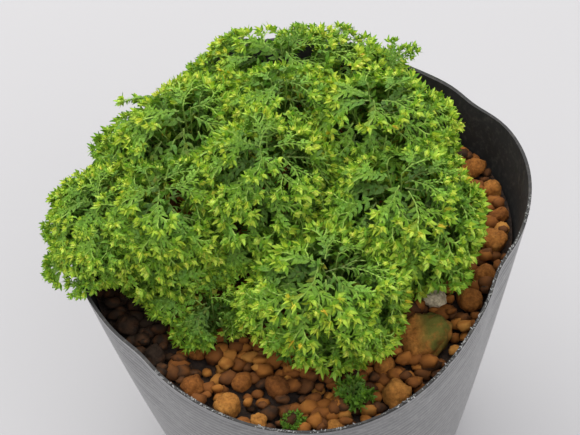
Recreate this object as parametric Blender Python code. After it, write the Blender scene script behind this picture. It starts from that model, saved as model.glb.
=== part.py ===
"""A cushion of spike moss in a thin, soft nursery pot filled with fired clay granules.

Metres, +Z up. The origin is the middle of the pot's round foot, on the surface that it stands on.
The pot is widest at its mouth, and its soft mouth is out of round. The plant is a ring of rounded
tufts, each on its own stems, and it leans out over the rim at -X.
"""

import math
import random

import bmesh
import bpy
from mathutils import Matrix, Vector, noise
from mathutils.bvhtree import BVHTree

# Shading edge in degrees, and the distance within which points count as one
SHARP_ANGLE = 40
TOUCH = 1e-5

# Nursery pot
POT_HEIGHT = 0.077
MOUTH_RADIUS = 0.045
BASE_RADIUS = 0.031
WALL = 0.0006
FLOOR = 0.0008
BASE_CORNER = 0.002
DRAIN_HOLES = 6
DRAIN_RADIUS = 0.003
DRAIN_RING = 0.017
DRAIN_SIDES = 16
POT_SEGMENTS = 60
WALL_LEVELS = 6
CORNER_STEPS = 3
# The soft mouth: waves round the rim as (count, height, angle of a crest in degrees)
MOUTH_WAVES = ((2, 0.0025, -84), (3, 0.0014, 14), (4, 0.0015, 8))
# and dents as (angle, half width, depth), angles in degrees
MOUTH_DENTS = ((-30, 8, 0.0010), (29, 7, 0.0011), (122, 31, 0.0062), (-134, 7, 0.0007))
RIM_WAVE = 0.0005

# Potting mix and granules
GAP = 0.0003
MIX_BELOW_RIM = 0.012
MIX_LEVEL = POT_HEIGHT - MIX_BELOW_RIM
MIX_CROWN = 0.0010
MIX_LUMP = 0.0005
MIX_LUMP_SIZE = 0.006
MIX_RINGS = 7
GRAIN_RADIUS = (0.0021, 0.0034)
GRAIN_FLATNESS = 0.72
GRAIN_NARROWNESS = (0.75, 0.95)
GRAIN_LUMP = 0.16
GRAIN_LUMP_SCALE = 1.3
RIM_GRAINS = 16
RIM_GRAIN_ARC = (-160, 62)
SECOND_ROW_GRAINS = 6
SECOND_ROW_ARC = (-136, -50)
GRAIN_SPACING = 0.0004
SEARCH_TURN = 2
SEARCH_TURNS = 90
LARGE_GRAIN = {"angle": -52, "inset": 0.0072, "half_length": 0.0060, "half_width": 0.0048, "half_height": 0.0028}
PUMICE_GRAIN = {"angle": -39, "inset": 0.0095, "half_length": 0.0028, "half_width": 0.0024}

# Plant: each tuft as (name, middle x and y, half sizes x and y, height of its middle, half height,
# height of its hem). The plan is in shares of the mouth radius, and heights count from the mix.
TUFTS = (
    ("front", (0.08, -0.54), (0.32, 0.28), 0.014, 0.0120, 0.0085),
    ("right", (0.42, -0.19), (0.32, 0.29), 0.014, 0.0140, 0.0085),
    ("back_right", (0.37, 0.22), (0.34, 0.29), 0.014, 0.0150, 0.0085),
    ("centre", (-0.11, -0.04), (0.31, 0.31), 0.016, 0.0170, 0.0085),
    ("left", (-0.53, -0.09), (0.31, 0.29), 0.014, 0.0135, 0.0085),
    ("far_left", (-0.77, -0.08), (0.24, 0.28), 0.017, 0.0090, 0.0085),
    ("back_left", (-0.41, 0.29), (0.36, 0.29), 0.014, 0.0140, 0.0085),
    ("crown", (-0.02, 0.33), (0.27, 0.26), 0.015, 0.0165, 0.0085),
    ("back", (0.03, 0.62), (0.50, 0.28), 0.013, 0.0130, 0.0085),
    ("front_left", (-0.37, -0.46), (0.21, 0.18), 0.010, 0.0080, 0.0070),
)
# A tuft that reaches past the wall hangs over the rim, this far above it
RIM_CLEARANCE = 0.0020
TUFT_LUMP = 0.0012
TUFT_LUMP_SIZE = 0.0050
TUFT_GAP = 0.0006
TUFT_RINGS = 14
TUFT_SIDES = 26
STEM_RADIUS = 0.0005
STEM_SPREAD = 0.0032
STEM_LEAN = 0.0020
STEM_POINTS = 8
STEM_ROUNDNESS = 2
# Two seedlings that stand by themselves on the mix, as (name, angle, distance in from the wall, radius)
SEEDLINGS = (("seedling_front", -80, 0.0066, 0.0034), ("seedling_rim", -96, 0.0032, 0.0022))
SEEDLING_HEIGHT = 1.1
SEEDLING_WIDTH = 0.9


def clear_scene():
    for old in list(bpy.data.objects):
        bpy.data.objects.remove(old, do_unlink=True)


def material(name, colour, roughness):
    """A plain material with the sub-part's colour and roughness."""
    made = bpy.data.materials.new(name)
    made.use_nodes = True
    shader = made.node_tree.nodes["Principled BSDF"]
    shader.inputs["Base Color"].default_value = (*colour, 1)
    shader.inputs["Roughness"].default_value = roughness
    shader.inputs["Metallic"].default_value = 0
    return made


def place(name, bm, finish):
    """A named object from a bmesh whose vertices are already where they belong."""
    mesh = bpy.data.meshes.new(name)
    bm.to_mesh(mesh)
    bm.free()
    mesh.shade_smooth()
    mesh.set_sharp_from_angle(angle=math.radians(SHARP_ANGLE))
    mesh.materials.append(finish)
    made = bpy.data.objects.new(name, mesh)
    bpy.context.scene.collection.objects.link(made)
    return made


# ---------------------------------------------------------------- nursery pot


def mouth_offset(angle):
    """How far the soft mouth stands out of its round shape at this angle."""
    waves = sum(
        height * math.cos(count * (angle - math.radians(crest)))
        for count, height, crest in MOUTH_WAVES
    )
    dents = 0.0
    for middle, half_width, depth in MOUTH_DENTS:
        turn = (angle - math.radians(middle) + math.pi) % (2 * math.pi) - math.pi
        dents += depth * math.exp(-((turn / math.radians(half_width)) ** 2))
    return waves - dents


def wall_offset(angle, height):
    """The wall's departure from a cone: none at the stiff base, all of it at the mouth."""
    return mouth_offset(angle) * max(height / POT_HEIGHT, 0) ** 2


def cone_radius(height):
    """The round cone that the outside of the wall follows."""
    return BASE_RADIUS + (MOUTH_RADIUS - BASE_RADIUS) * height / POT_HEIGHT


def inside_radius(angle, height):
    return cone_radius(height) - WALL + wall_offset(angle, height)


def spin_profile(points):
    """Turns a profile of (radius, height) points once round Z."""
    bm = bmesh.new()
    line = [bm.verts.new((radius, 0, height)) for radius, height in points]
    edges = [bm.edges.new(pair) for pair in zip(line, line[1:])]
    bmesh.ops.spin(
        bm,
        geom=line + edges,
        cent=(0, 0, 0),
        axis=(0, 0, 1),
        angle=2 * math.pi,
        steps=POT_SEGMENTS,
        use_merge=True,
    )
    bmesh.ops.remove_doubles(bm, verts=bm.verts, dist=TOUCH)
    bmesh.ops.recalc_face_normals(bm, faces=bm.faces)
    return bm


def base_arc(radius, corner, height):
    """The rounded bottom corner of a wall, from the floor to the cone, as (radius, height) points."""
    turns = [math.pi / 2 * step / CORNER_STEPS for step in range(CORNER_STEPS + 1)]
    return [
        (radius - corner + corner * math.sin(turn), height + corner - corner * math.cos(turn))
        for turn in turns
    ]


def wall_levels(bottom, top):
    return [bottom + (top - bottom) * level / WALL_LEVELS for level in range(1, WALL_LEVELS + 1)]


def drain_punch():
    """The round punches that cut the ring of drain holes through the floor, as one hidden cutter."""
    bm = bmesh.new()
    for hole in range(DRAIN_HOLES):
        turn = 2 * math.pi * hole / DRAIN_HOLES
        spot = Vector((DRAIN_RING * math.cos(turn), DRAIN_RING * math.sin(turn), FLOOR / 2))
        bmesh.ops.create_cone(
            bm,
            cap_ends=True,
            segments=DRAIN_SIDES,
            radius1=DRAIN_RADIUS,
            radius2=DRAIN_RADIUS,
            depth=4 * FLOOR,
            matrix=Matrix.Translation(spot),
        )
    punch = place("drain_punch", bm, material("punch", (0.5, 0.5, 0.5), 0.5))
    punch.hide_render = True
    punch.display_type = "WIRE"
    return punch


def nursery_pot():
    """One thin skin: flat floor with drain holes, corner and wall, closed at the rim."""
    outside = [(0, 0)] + base_arc(cone_radius(BASE_CORNER), BASE_CORNER, 0)
    outside += [(cone_radius(height), height) for height in wall_levels(BASE_CORNER, POT_HEIGHT)]
    inside = [(0, FLOOR)] + base_arc(cone_radius(BASE_CORNER) - WALL, BASE_CORNER - WALL, FLOOR)
    inside += [(cone_radius(h) - WALL, h) for h in wall_levels(BASE_CORNER, POT_HEIGHT)]
    bm = spin_profile(outside + inside[::-1])
    for vert in bm.verts:
        angle = math.atan2(vert.co.y, vert.co.x)
        out = Vector((vert.co.x, vert.co.y, 0)).normalized()
        if vert.co.z > POT_HEIGHT - TOUCH:
            vert.co.z += RIM_WAVE * math.cos(3 * angle + 1)
        if vert.co.z > BASE_CORNER + FLOOR:
            vert.co += out * wall_offset(angle, vert.co.z)
    pot = place("nursery_pot", bm, material("black_film", (0.03, 0.03, 0.032), 0.45))
    holes = pot.modifiers.new("drain holes", "BOOLEAN")
    holes.operation = "DIFFERENCE"
    holes.object = drain_punch()


# ---------------------------------------------------------------- potting mix and granules


def potting_mix():
    """The mix fills the pot from its floor to below the rim, with a slightly crowned, lumpy top."""
    floor = FLOOR + GAP
    side = base_arc(cone_radius(BASE_CORNER) - WALL - GAP, BASE_CORNER - WALL, floor)
    levels = wall_levels(BASE_CORNER + floor, MIX_LEVEL)
    side += [(cone_radius(height) - WALL - GAP, height) for height in levels]
    edge = side[-1][0]
    top = [
        (edge * ring / MIX_RINGS, MIX_LEVEL + MIX_CROWN * (1 - ring / MIX_RINGS))
        for ring in range(MIX_RINGS - 1, -1, -1)
    ]
    bm = spin_profile([(0, floor)] + side + top)
    for vert in bm.verts:
        angle = math.atan2(vert.co.y, vert.co.x)
        radius = math.hypot(vert.co.x, vert.co.y)
        if vert.co.z > BASE_CORNER + floor:
            share = min(radius / edge, 1)
            out = Vector((math.cos(angle), math.sin(angle), 0))
            vert.co += out * wall_offset(angle, min(vert.co.z, MIX_LEVEL)) * share
        if vert.co.z > MIX_LEVEL - TOUCH and radius < edge - TOUCH:
            vert.co.z += MIX_LUMP * noise.noise(vert.co / MIX_LUMP_SIZE)
    return place("potting_mix", bm, material("mix", (0.10, 0.055, 0.03), 0.95))


def surface_of(made):
    """The object's own mesh, for dropping other pieces onto it."""
    bm = bmesh.new()
    bm.from_mesh(made.data)
    tree = BVHTree.FromBMesh(bm)
    bm.free()
    return tree


def gap_under(surface, point):
    """The free height between a point and the surface below it."""
    hit = surface.ray_cast(point, Vector((0, 0, -1)))
    return hit[3] if hit[0] is not None else math.inf


def lump(half_sizes, turn, seed):
    """A granule: a small sphere with worn bumps, stretched to its three half sizes and turned."""
    bm = bmesh.new()
    bmesh.ops.create_icosphere(bm, subdivisions=2, radius=1)
    shift = Vector((seed * 3.7, seed * 1.3, seed * 5.1))
    for vert in bm.verts:
        vert.co *= 1 - GRAIN_LUMP + GRAIN_LUMP * noise.noise(vert.co * GRAIN_LUMP_SCALE + shift)
    bmesh.ops.scale(bm, vec=half_sizes, verts=bm.verts)
    bmesh.ops.rotate(bm, cent=(0, 0, 0), matrix=Matrix.Rotation(turn, 3, "Z"), verts=bm.verts)
    return bm


def drop(bm, x, y, surface):
    """Lowers a shape at x, y until it lies GAP above the surface."""
    bmesh.ops.translate(bm, vec=(x, y, POT_HEIGHT), verts=bm.verts)
    least = min(gap_under(surface, vert.co) for vert in bm.verts)
    bmesh.ops.translate(bm, vec=(0, 0, GAP - least), verts=bm.verts)


def beside_wall(angle, reach):
    """The spot whose distance from the wall's inside leaves room for a shape of this reach."""
    radius = inside_radius(angle, MIX_LEVEL) - reach - GRAIN_SPACING
    return radius * math.cos(angle), radius * math.sin(angle)


def clear_of(taken, x, y, reach):
    return all(math.hypot(x - a, y - b) > reach + c + GRAIN_SPACING for a, b, c in taken)


def free_spot(taken, angle, inset, reach):
    """The clear spot nearest to this angle, at this distance from the wall: (x, y)."""
    for step in range(2 * SEARCH_TURNS):
        side = 1 if step % 2 else -1
        turn = side * math.radians(SEARCH_TURN) * ((step + 1) // 2)
        x, y = beside_wall(angle + turn, inset)
        if clear_of(taken, x, y, reach):
            return x, y
    raise ValueError("no room is left on the mix")


def granules(surface):
    """The granules that show round the plant: one large, one of pumice, and two rows of fired clay."""
    clay = material("fired_clay", (0.42, 0.21, 0.07), 0.9)
    taken = [(spot.x, spot.y, STEM_RADIUS) for line in stem_lines() for spot in line[1:]]
    for name, angle, inset, radius in SEEDLINGS:
        taken.append((*beside_wall(math.radians(angle), inset), radius))

    angle = math.radians(LARGE_GRAIN["angle"])
    length, width = LARGE_GRAIN["half_length"], LARGE_GRAIN["half_width"]
    x, y = free_spot(taken, angle, LARGE_GRAIN["inset"], length)
    bm = lump((width, length, LARGE_GRAIN["half_height"]), math.atan2(y, x), 1)
    drop(bm, x, y, surface)
    place("clay_granule_large", bm, clay)
    taken.append((x, y, length))

    angle = math.radians(PUMICE_GRAIN["angle"])
    length, width = PUMICE_GRAIN["half_length"], PUMICE_GRAIN["half_width"]
    x, y = free_spot(taken, angle, PUMICE_GRAIN["inset"], length)
    bm = lump((length, width, length * GRAIN_FLATNESS), angle, 2)
    drop(bm, x, y, surface)
    place("pumice_granule", bm, material("pumice", (0.62, 0.58, 0.48), 0.9))
    taken.append((x, y, length))

    chance = random.Random(11)
    rows = ((RIM_GRAINS, RIM_GRAIN_ARC, 0.0), (SECOND_ROW_GRAINS, SECOND_ROW_ARC, 2 * GRAIN_RADIUS[1]))
    count = 0
    for grains, (first, last), inset in rows:
        for step in range(grains):
            count += 1
            angle = math.radians(first + (last - first) * (step + chance.uniform(0.2, 0.8)) / grains)
            radius = chance.uniform(*GRAIN_RADIUS)
            x, y = free_spot(taken, angle, inset + radius, radius)
            shape = (radius, radius * chance.uniform(*GRAIN_NARROWNESS), radius * GRAIN_FLATNESS)
            bm = lump(shape, chance.uniform(0, math.pi), 3 + count)
            drop(bm, x, y, surface)
            place(f"clay_granule_{count:02d}", bm, clay)
            taken.append((x, y, radius))


# ---------------------------------------------------------------- plant


def dome(middle, half_sizes):
    """A rounded tuft: a stretched sphere whose surface is bumped like packed sprays."""
    bm = bmesh.new()
    bmesh.ops.create_uvsphere(bm, u_segments=TUFT_SIDES, v_segments=TUFT_RINGS, radius=1)
    bmesh.ops.scale(bm, vec=half_sizes, verts=bm.verts)
    bmesh.ops.translate(bm, vec=middle, verts=bm.verts)
    for vert in bm.verts:
        out = (vert.co - middle).normalized()
        vert.co += out * TUFT_LUMP * (noise.noise(vert.co / TUFT_LUMP_SIZE) - 0.5)
    bmesh.ops.triangulate(bm, faces=bm.faces)
    return bm


def cut(bm, point, outward):
    """Cuts away what lies beyond a plane and closes the face that is left."""
    geometry = list(bm.verts) + list(bm.edges) + list(bm.faces)
    made = bmesh.ops.bisect_plane(
        bm, geom=geometry, dist=TOUCH / 100, plane_co=point, plane_no=outward, clear_outer=True
    )
    edges = [part for part in made["geom_cut"] if isinstance(part, bmesh.types.BMEdge)]
    if edges:
        bmesh.ops.triangle_fill(bm, use_beauty=True, edges=edges)


def shape_of(tuft):
    """A tuft's name, its middle and half sizes in metres, and the height of its hem."""
    name, plan, half_plan, height, half_height, hem = tuft
    middle = Vector((plan[0] * MOUTH_RADIUS, plan[1] * MOUTH_RADIUS, MIX_LEVEL + height))
    half_sizes = Vector((half_plan[0] * MOUTH_RADIUS, half_plan[1] * MOUTH_RADIUS, half_height))
    hem += MIX_LEVEL
    outward = Vector((middle.x, middle.y, 0)).normalized()
    reach = Vector((middle.x, middle.y)).length + reach_along(half_sizes, outward)
    if reach > inside_radius(math.atan2(middle.y, middle.x), hem):
        hem = POT_HEIGHT + RIM_WAVE + RIM_CLEARANCE
    return name, middle, half_sizes, hem


def reach_along(half_sizes, direction):
    """How far a tuft's ellipsoid reaches from its middle along a direction."""
    return math.sqrt(sum((part * size) ** 2 for part, size in zip(direction, half_sizes)))


def parting(first, second):
    """The plane between two tufts, at the first one's side of the gap: (point, outward), or None."""
    a, b = first[1], second[1]
    apart = (b - a).length
    outward = (b - a) / apart
    reach_a, reach_b = (reach_along(tuft[2], outward) for tuft in (first, second))
    if apart > reach_a + reach_b + TUFT_GAP:
        return None
    share = (apart**2 + reach_a**2 - reach_b**2) / (2 * apart)
    return a + outward * (share - TUFT_GAP / 2), outward


def tufts():
    """Every tuft, each cut flat where it meets a neighbour and along its hem."""
    green = material("moss_green", (0.16, 0.30, 0.04), 0.8)
    shapes = [shape_of(tuft) for tuft in TUFTS]
    for tuft in shapes:
        name, middle, half_sizes, hem = tuft
        bm = dome(middle, half_sizes)
        for other in shapes:
            plane = parting(tuft, other) if other is not tuft else None
            if plane:
                cut(bm, *plane)
        cut(bm, (0, 0, hem), (0, 0, -1))
        bmesh.ops.remove_doubles(bm, verts=bm.verts, dist=TOUCH)
        bmesh.ops.recalc_face_normals(bm, faces=bm.faces)
        place(f"tuft_{name}", bm, green)


def stem(name, foot, head, finish):
    """A round stem that leaves the mix upright and leans out to its tuft."""
    curve = bpy.data.curves.new(name, "CURVE")
    curve.dimensions = "3D"
    curve.bevel_depth = STEM_RADIUS
    curve.bevel_resolution = STEM_ROUNDNESS
    curve.use_fill_caps = True
    spline = curve.splines.new("POLY")
    spline.points.add(STEM_POINTS - 1)
    for step, point in enumerate(spline.points):
        share = step / (STEM_POINTS - 1)
        across = share * share * (3 - 2 * share)
        spot = foot.lerp(head, across)
        point.co = (spot.x, spot.y, foot.z + (head.z - foot.z) * share, 1)
    curve.materials.append(finish)
    made = bpy.data.objects.new(name, curve)
    bpy.context.scene.collection.objects.link(made)


def clear_of_lower_tufts(own, shapes, spot):
    """A stem's place, moved off its neighbours where they hang lower than the tuft that it carries."""
    for other in shapes:
        plane = parting(own, other) if other is not own else None
        if not plane or other[3] >= own[3]:
            continue
        point, outward = plane
        level = Vector((outward.x, outward.y, 0))
        over = (Vector((spot.x, spot.y, other[3])) - point).dot(outward) + STEM_RADIUS + GAP
        if over > 0:
            spot = spot - level * over / level.length_squared
    return spot


def stem_lines():
    """Where the stems stand: two for each tuft, as (name, foot, head), with the feet still at hem height."""
    lines = []
    shapes = [shape_of(tuft) for tuft in TUFTS]
    for own in shapes:
        name, middle, _, hem = own
        centre = Vector((middle.x, middle.y, hem))
        outward = Vector((middle.x, middle.y, 0)).normalized()
        aside = Vector((outward.y, -outward.x, 0))
        for side, label in ((-1, "a"), (1, "b")):
            foot = centre + aside * side * STEM_SPREAD / 2
            head = centre + aside * side * STEM_SPREAD + outward * STEM_LEAN
            foot, head = (clear_of_lower_tufts(own, shapes, spot) for spot in (foot, head))
            head.z -= GAP
            lines.append((f"stem_{name}_{label}", foot, head))
    return lines


def stems(surface):
    """Every stem, from the mix to the underside of its tuft."""
    bark = material("stem", (0.30, 0.34, 0.12), 0.7)
    steps = (-STEM_RADIUS, 0, STEM_RADIUS)
    for name, foot, head in stem_lines():
        around = [foot + Vector((dx, dy, 0)) for dx in steps for dy in steps]
        foot.z -= min(gap_under(surface, spot) for spot in around) - GAP
        stem(name, foot, head, bark)


def seedlings(surface):
    """Small plants beside the cushion, each a low rounded tuft on the mix."""
    green = material("seedling_green", (0.07, 0.16, 0.03), 0.8)
    for number, (name, angle, inset, radius) in enumerate(SEEDLINGS):
        x, y = beside_wall(math.radians(angle), inset)
        bm = lump((radius, radius * SEEDLING_WIDTH, radius * SEEDLING_HEIGHT), 0, 20 + number)
        drop(bm, x, y, surface)
        place(name, bm, green)


clear_scene()
nursery_pot()
mix_surface = surface_of(potting_mix())
granules(mix_surface)
tufts()
stems(mix_surface)
seedlings(mix_surface)
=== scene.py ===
"""A cushion of spike moss in a soft black nursery pot filled with fired clay granules."""

import math
import random

import bmesh
import bpy
import numpy as np
from mathutils import Matrix, Vector, noise


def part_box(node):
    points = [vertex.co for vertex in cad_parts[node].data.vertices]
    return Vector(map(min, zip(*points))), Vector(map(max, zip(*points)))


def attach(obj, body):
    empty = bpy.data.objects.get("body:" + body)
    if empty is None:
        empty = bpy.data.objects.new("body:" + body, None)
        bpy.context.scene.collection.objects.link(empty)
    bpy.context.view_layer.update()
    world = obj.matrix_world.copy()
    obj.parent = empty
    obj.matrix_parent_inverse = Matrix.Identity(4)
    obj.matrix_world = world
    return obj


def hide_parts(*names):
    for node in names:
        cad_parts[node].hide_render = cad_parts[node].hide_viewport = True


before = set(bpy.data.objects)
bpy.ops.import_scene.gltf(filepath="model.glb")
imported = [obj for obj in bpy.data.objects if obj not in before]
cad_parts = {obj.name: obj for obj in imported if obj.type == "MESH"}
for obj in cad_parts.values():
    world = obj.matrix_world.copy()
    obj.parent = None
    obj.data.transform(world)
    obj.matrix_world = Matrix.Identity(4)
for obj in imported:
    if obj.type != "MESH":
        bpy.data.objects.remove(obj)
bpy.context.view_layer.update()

# ---------------------------------------------------------------- camera, light and floor
# The pot stands on a pale seamless sheet under a wide soft light from behind, with a weak fill from in
# front, and a long lens looks down on it.

AIM = Vector((-0.0010, -0.0032, 0.0770))
DISTANCE = 0.2553
ELEVATION = math.radians(50.03)
ROLL = math.radians(-6.28)

camera_data = bpy.data.cameras.new("camera")
camera_data.lens = 85
camera_data.sensor_width = 36
camera_data.clip_start = 0.01
camera = bpy.data.objects.new("camera", camera_data)
bpy.context.scene.collection.objects.link(camera)
backward = Vector((0, -math.cos(ELEVATION), math.sin(ELEVATION)))
tilt = Matrix.Rotation(math.pi / 2 - ELEVATION, 4, "X") @ Matrix.Rotation(ROLL, 4, "Z")
camera.matrix_world = Matrix.Translation(AIM + backward * DISTANCE) @ tilt
bpy.context.scene.camera = camera
bpy.context.scene.view_settings.view_transform = "Standard"

world = bpy.data.worlds.new("soft room")
world.use_nodes = True
world.node_tree.nodes["Background"].inputs["Color"].default_value = (0.97, 0.975, 1.0, 1)
world.node_tree.nodes["Background"].inputs["Strength"].default_value = 1.16
bpy.context.scene.world = world


def soft_light(name, spot, size, power, colour):
    """A square soft box at a spot, turned to the plant."""
    lamp = bpy.data.lights.new(name, "AREA")
    lamp.size = size
    lamp.energy = power
    lamp.color = colour
    made = bpy.data.objects.new(name, lamp)
    bpy.context.scene.collection.objects.link(made)
    away = Vector(spot) - AIM
    made.matrix_world = Matrix.Translation(spot) @ away.to_track_quat("Z", "Y").to_matrix().to_4x4()


soft_light("key", (-0.10, 0.42, 0.78), 1.00, 10.3, (1.0, 0.99, 0.96))
soft_light("fill", (0.30, -0.45, 0.75), 0.70, 3.0, (1.0, 1.0, 1.0))

SHEET_SIZE = 3.0
bm = bmesh.new()
bmesh.ops.create_grid(bm, x_segments=1, y_segments=1, size=SHEET_SIZE / 2)
floor_mesh = bpy.data.meshes.new("floor")
bm.to_mesh(floor_mesh)
bm.free()
floor = bpy.data.objects.new("floor", floor_mesh)
bpy.context.scene.collection.objects.link(floor)
sheet = bpy.data.materials.new("pale sheet")
sheet.use_nodes = True
sheet.node_tree.nodes["Principled BSDF"].inputs["Base Color"].default_value = (0.335, 0.33, 0.337, 1)
sheet.node_tree.nodes["Principled BSDF"].inputs["Roughness"].default_value = 0.9
floor_mesh.materials.append(sheet)

# ---------------------------------------------------------------- nursery pot
# A thin black polyethylene pot, drawn out of a tube of film, so its mouth is soft and out of round.
# Fine ribs run round it, the rim is where the film was cut, and it stands on its flat floor.

POT_HEIGHT = 0.077
MOUTH_RADIUS = 0.045
BASE_RADIUS = 0.031
FILM = 0.0006
FLOOR = 0.0008
BASE_CORNER = 0.002
CORNER_STEPS = 4
MIX_LEVEL = 0.065
# Each wave is a count round the mouth, a height and the angle of a crest. Each dent is an angle, a
# half width in degrees and a depth.
MOUTH_WAVES = ((2, 0.0025, -84), (3, 0.0014, 14), (4, 0.0015, 8))
MOUTH_DENTS = ((-30, 8, 0.0010), (29, 7, 0.0011), (122, 31, 0.0062), (-134, 7, 0.0007))
RIM_WAVE = 0.0005
RIM_RAGGEDNESS = 0.00015
RIB_PITCH = 0.00185
RIB_HEIGHT = 0.00017
RIB_UNEVENNESS = 0.8
RIB_FADE = 0.014
RIB_LEAST = 0.35
LEVELS_PER_RIB = 7
LINING_LEVELS = 24
POT_SIDES = 180


def mouth_offset(angle):
    """How far the soft mouth stands out of its round shape at this angle."""
    waves = sum(h * math.cos(n * (angle - math.radians(crest))) for n, h, crest in MOUTH_WAVES)
    dents = 0.0
    for middle, half_width, depth in MOUTH_DENTS:
        turn = (angle - math.radians(middle) + math.pi) % (2 * math.pi) - math.pi
        dents += depth * math.exp(-((turn / math.radians(half_width)) ** 2))
    return waves - dents


def wall_radius(angle, height):
    """The outside of the film: a cone at the stiff base, the mouth's shape at the rim."""
    cone = BASE_RADIUS + (MOUTH_RADIUS - BASE_RADIUS) * height / POT_HEIGHT
    return cone + mouth_offset(angle) * max(height / POT_HEIGHT, 0) ** 2


def rim_rise(angle):
    """How far the cut rim stands over its mean height at this angle."""
    return RIM_WAVE * math.cos(3 * angle + 1)


def new_piece(name, bm, *finishes, smooth=True):
    """An object at the origin from a bmesh, with these materials."""
    mesh = bpy.data.meshes.new(name)
    bm.to_mesh(mesh)
    bm.free()
    if smooth:
        mesh.shade_smooth()
    else:
        mesh.shade_flat()
    for finish in finishes:
        mesh.materials.append(finish)
    made = bpy.data.objects.new(name, mesh)
    bpy.context.scene.collection.objects.link(made)
    return made


def nodes_of(name, roughness):
    """A material with its nodes, links and shader, and Object coordinates to pattern it by."""
    made = bpy.data.materials.new(name)
    made.use_nodes = True
    nodes, links = made.node_tree.nodes, made.node_tree.links
    shader = nodes["Principled BSDF"]
    shader.inputs["Roughness"].default_value = roughness
    place = nodes.new("ShaderNodeTexCoord")
    return made, nodes, links, shader, place.outputs["Object"]


def grain(nodes, links, place, scale, detail=4.0, rough=0.6):
    """A noise at this many bumps per metre."""
    made = nodes.new("ShaderNodeTexNoise")
    made.inputs["Scale"].default_value = scale
    made.inputs["Detail"].default_value = detail
    made.inputs["Roughness"].default_value = rough
    links.new(place, made.inputs["Vector"])
    return made.outputs["Fac"]


def ramp(nodes, links, value, *stops):
    """A colour ramp through (position, colour) stops."""
    made = nodes.new("ShaderNodeValToRGB")
    scale = made.color_ramp
    while len(scale.elements) < len(stops):
        scale.elements.new(0.5)
    for element, (position, colour) in zip(scale.elements, stops):
        element.position = position
        element.color = (*colour, 1)
    links.new(value, made.inputs["Fac"])
    return made.outputs["Color"]


def blend_colours(nodes, links, share, first, second, way="MIX"):
    """first and second mixed by share, which is a number or a socket."""
    made = nodes.new("ShaderNodeMix")
    made.data_type = "RGBA"
    made.blend_type = way
    for value, socket in ((share, made.inputs[0]), (first, made.inputs[6]), (second, made.inputs[7])):
        if isinstance(value, bpy.types.NodeSocket):
            links.new(value, socket)
        elif isinstance(value, tuple):
            socket.default_value = (*value, 1)
        else:
            socket.default_value = value
    return made.outputs[2]


def bump(nodes, links, shader, height, strength, distance):
    """Small relief: height is a socket, and distance the relief's depth in metres."""
    made = nodes.new("ShaderNodeBump")
    made.inputs["Strength"].default_value = strength
    made.inputs["Distance"].default_value = distance
    links.new(height, made.inputs["Height"])
    links.new(made.outputs["Normal"], shader.inputs["Normal"])


# The profile runs up the outside and down the inside. The points with no radius are the walls', which
# get their own after the spin, because the walls aren't round.
OUTER_WALL = 1
INNER_WALL = 2
levels = round((POT_HEIGHT - BASE_CORNER) / RIB_PITCH * LEVELS_PER_RIB)
bm = bmesh.new()
kinds = bm.verts.layers.int.new("kind")
outside = [(BASE_RADIUS - BASE_CORNER, 0)]
for step in range(1, CORNER_STEPS + 1):
    turn = math.pi / 2 * step / CORNER_STEPS
    reach = BASE_RADIUS + BASE_CORNER * (math.sin(turn) - 1)
    outside.append((reach, BASE_CORNER * (1 - math.cos(turn))))
outside += [(0, BASE_CORNER + (POT_HEIGHT - BASE_CORNER) * step / levels) for step in range(1, levels + 1)]
heights = [POT_HEIGHT - POT_HEIGHT * step / LINING_LEVELS for step in range(LINING_LEVELS)]
inside = [(0, height) for height in heights if height > BASE_CORNER + FLOOR]
inside.append((BASE_RADIUS - BASE_CORNER * 0.6, FLOOR))
profile = outside + inside
line = [bm.verts.new((radius, 0, height)) for radius, height in profile]
for number, vert in enumerate(line):
    if profile[number][0]:
        continue
    vert[kinds] = OUTER_WALL if number < len(outside) else INNER_WALL
    vert.co.x = MOUTH_RADIUS if vert[kinds] == OUTER_WALL else MOUTH_RADIUS - FILM
edges = [bm.edges.new(pair) for pair in zip(line, line[1:])]
bmesh.ops.spin(
    bm, geom=line + edges, cent=(0, 0, 0), axis=(0, 0, 1), angle=2 * math.pi, steps=POT_SIDES, use_merge=True
)
for vert in bm.verts:
    if not vert[kinds]:
        continue
    angle = math.atan2(vert.co.y, vert.co.x)
    height = vert.co.z
    radius = wall_radius(angle, height) - (FILM if vert[kinds] == INNER_WALL else 0)
    if vert[kinds] == OUTER_WALL:
        depth = POT_HEIGHT - height
        rib = math.cos(2 * math.pi * depth / RIB_PITCH) - 1
        own_place = Vector((round(depth / RIB_PITCH) * 2.7, angle * 1.5, 0))
        strength = 1 + RIB_UNEVENNESS * noise.noise(own_place)
        fading = RIB_LEAST + (1 - RIB_LEAST) * math.exp(-depth / RIB_FADE)
        radius += RIB_HEIGHT * strength * rib * min(depth / RIB_PITCH, 1) * fading
    spot = Vector((radius * math.cos(angle), radius * math.sin(angle), height))
    if height > POT_HEIGHT - 1e-5:
        spot.z += rim_rise(angle) - RIM_RAGGEDNESS * abs(noise.noise(spot * 900))
    vert.co = spot
bmesh.ops.remove_doubles(bm, verts=bm.verts, dist=0.00001)

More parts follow.
